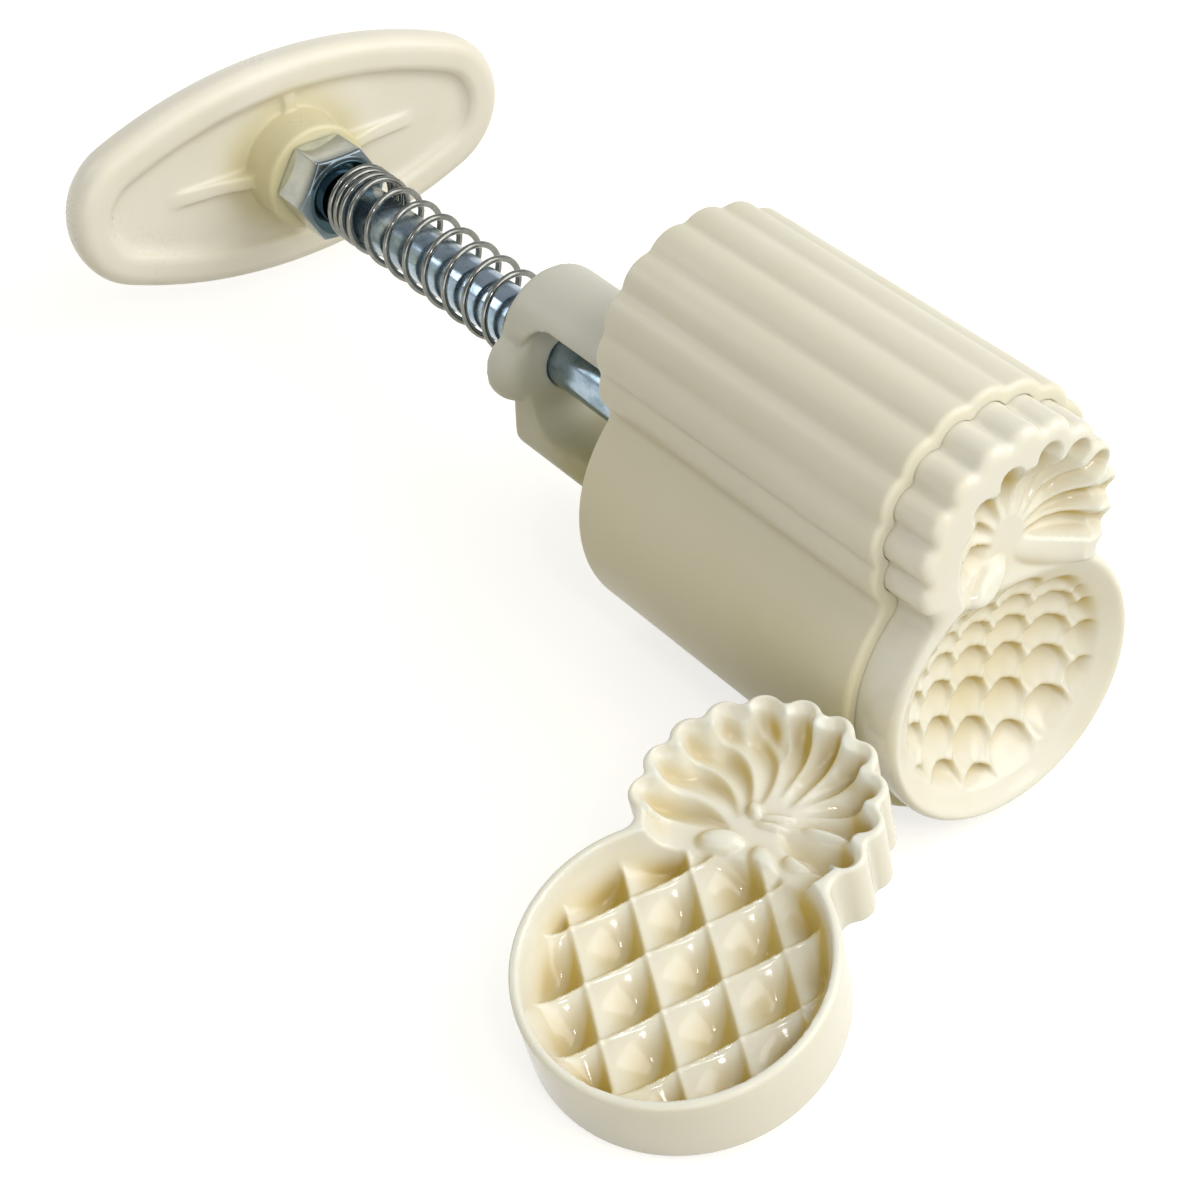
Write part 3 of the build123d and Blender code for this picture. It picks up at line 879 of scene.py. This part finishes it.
rod_rings = [
    (rod_radius - front_bevel, rod_front),
    (rod_radius, rod_front + front_bevel),
    (rod_radius, 60),
    (rod_radius, 100),
    (rod_radius, rod_rear - rear_bevel),
    (rod_radius - rear_bevel, rod_rear),
]
bolt = lofted("zinc_bolt", [round_ring(*place) for place in rod_rings])
sealed(bolt)
deselect()
bpy.ops.mesh.primitive_cylinder_add(
    vertices=6, radius=across_flats / sqrt(3), depth=head_height, rotation=(pi / 2, 0, 0)
)
head = bpy.context.object
bpy.ops.object.transform_apply(rotation=True)
head.data.transform(Matrix.Translation((0, head_middle, 0)))
apply_modifier(head, "BEVEL", width=0.5, segments=4)
activate(bolt)
head.select_set(True)
bpy.ops.object.join()
finished(bolt, "plunger", "bolt", rod_zinc, "bolt")

# Spring

wire_radius = 0.475
coil_radius = 5.5
coil_shift = Vector((0.5, 0, 0.55))
tight_pitch = 1.5
tight_turns = 3
coil_phase = radians(-53)
open_turns = 8
steps_per_turn = 40
end_room = 2.55
end_bend = 1.5
end_length = 0.9
coil_low = plate_rear + end_room
coil_high = nut_front - end_room
coil_turns = open_turns + 1 + tight_turns
open_pitch = tight_pitch + (coil_high - coil_low - tight_pitch * coil_turns) / (open_turns + 0.5)


def coil_place(turns):
    """The middle of the wire after some turns."""
    blended = min(max(turns - open_turns, 0), 1)
    opened = min(turns, open_turns) + blended - blended**2 / 2
    height = coil_low + tight_pitch * turns + (open_pitch - tight_pitch) * opened
    angle = coil_phase - tau * turns
    return coil_shift + Vector((coil_radius * cos(angle), height, coil_radius * sin(angle)))


def bent_end(place, inner, end):
    """The wire's last bend, from the coil to a straight end along the axis."""
    away = (place - inner).normalized()
    corner = place + Vector((away.x, 0, away.z)) * end_bend
    last = corner + Vector((0, end, 0)) * end_bend
    return [
        place * (1 - share) ** 2 + corner * 2 * share * (1 - share) + last * share**2
        for share in (0.2, 0.4, 0.6, 0.8, 1)
    ] + [last + Vector((0, end, 0)) * end_length]


coil = [coil_place(step / steps_per_turn) for step in range(coil_turns * steps_per_turn + 1)]
path = [
    *reversed(bent_end(coil[0], coil[1], -1)),
    *coil,
    *bent_end(coil[-1], coil[-2], 1),
]
spring = rolled("coiled_spring", path, wire_radius, 14)
finished(spring, None, "return_spring", spring_wire, "return_spring")
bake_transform(spring)

# Studio

floor_height = cad_box[0][2]
deselect()
bpy.ops.mesh.primitive_plane_add(size=6, location=(0, 0, floor_height))
floor = bpy.context.object
floor.name = "floor"


def seen_white(shade):
    """1 for rays from the camera, off metal and gloss, or through glass, and 0 for others."""
    path = shade.tree.nodes.new("ShaderNodeLightPath")
    seen = Shade(shade.tree, path.outputs["Is Camera Ray"])
    for other in ("Is Glossy Ray", "Is Transmission Ray"):
        seen = seen.math("MAXIMUM", Shade(shade.tree, path.outputs[other]))
    return seen


floor_colour = (0.46, 0.435, 0.36, 1)
floor_glow = 0.72
floor_finish = bpy.data.materials.new("floor_white")
floor_finish.use_nodes = True
floor_surface = floor_finish.node_tree.nodes["Principled BSDF"]
floor_surface.inputs["Base Color"].default_value = floor_colour
floor_surface.inputs["Emission Color"].default_value = (1, 1, 1, 1)
lift = seen_white(Shade(floor_finish.node_tree)) * floor_glow
lift.tree.links.new(lift.socket, floor_surface.inputs["Emission Strength"])
floor_surface.inputs["Roughness"].default_value = 0.9
floor_surface.inputs["Specular IOR Level"].default_value = 0
floor.data.materials.append(floor_finish)

world = bpy.data.worlds.new("studio")
bpy.context.scene.world = world
world.use_nodes = True
sky = world.node_tree.nodes["Background"]
shade = Shade(world.node_tree)
direction = shade.add("ShaderNodeTexCoord", output="Generated")

# The sky is brighter towards the key, and white low down for the rays that show it
key_side = (0.45, -0.62, 0.64)
facing = shade.add(
    "ShaderNodeVectorMath", {0: direction, 1: key_side}, output="Value", operation="DOT_PRODUCT"
)
level = shade.add("ShaderNodeSeparateXYZ", {"Vector": direction}, output="Z")
band = level.between(0.2, 0.4, 1, 0) * seen_white(shade)
strength = facing.between(-0.7, 1, 0.22, 0.76).math("MAXIMUM", band)
world.node_tree.links.new(strength.socket, sky.inputs["Strength"])
sky.inputs["Color"].default_value = (1, 1, 1, 1)


def lamp(name, place, target, size, power):
    """A square soft light that faces a point."""
    light = bpy.data.lights.new(name, "AREA")
    light.size = size
    light.energy = power
    holder = bpy.data.objects.new(name, light)
    bpy.context.collection.objects.link(holder)
    holder.location = place
    holder.rotation_euler = (Vector(target) - Vector(place)).to_track_quat("-Z", "Y").to_euler()


lamp("key", (0.95, -1.15, 1.2), (0, 0.03, 0), size=1.8, power=26)
lamp("fill", (-0.9, -0.85, 0.3), (0, 0.08, 0), size=0.8, power=2.6)
lamp("glints", (-0.21, -0.46, 0.49), (0, 0.1, 0), size=0.07, power=0.45)
lamp("behind", (-0.366, 0.695, 0.42), (0, 0.11, 0), size=0.3, power=0.7)

# Camera

camera = bpy.data.cameras.new("camera")
camera.sensor_width = 36
camera.lens = 92.21
camera.clip_start = 0.01
viewer = bpy.data.objects.new("camera", camera)
bpy.context.collection.objects.link(viewer)

# Its place, and what is right, up and backward to it, fitted to the photograph
camera_place = (-0.20097, -0.21152, 0.22414)
to_right = (0.80823, -0.58811, -0.02978)
upward = (0.37091, 0.46915, 0.80145)
backward = (-0.45737, -0.65881, 0.59731)
axes = Matrix((to_right, upward, backward)).transposed()
viewer.matrix_world = Matrix.Translation(camera_place) @ axes.to_4x4()
bpy.context.scene.camera = viewer
bpy.context.scene.view_settings.view_transform = "Standard"

deselect()
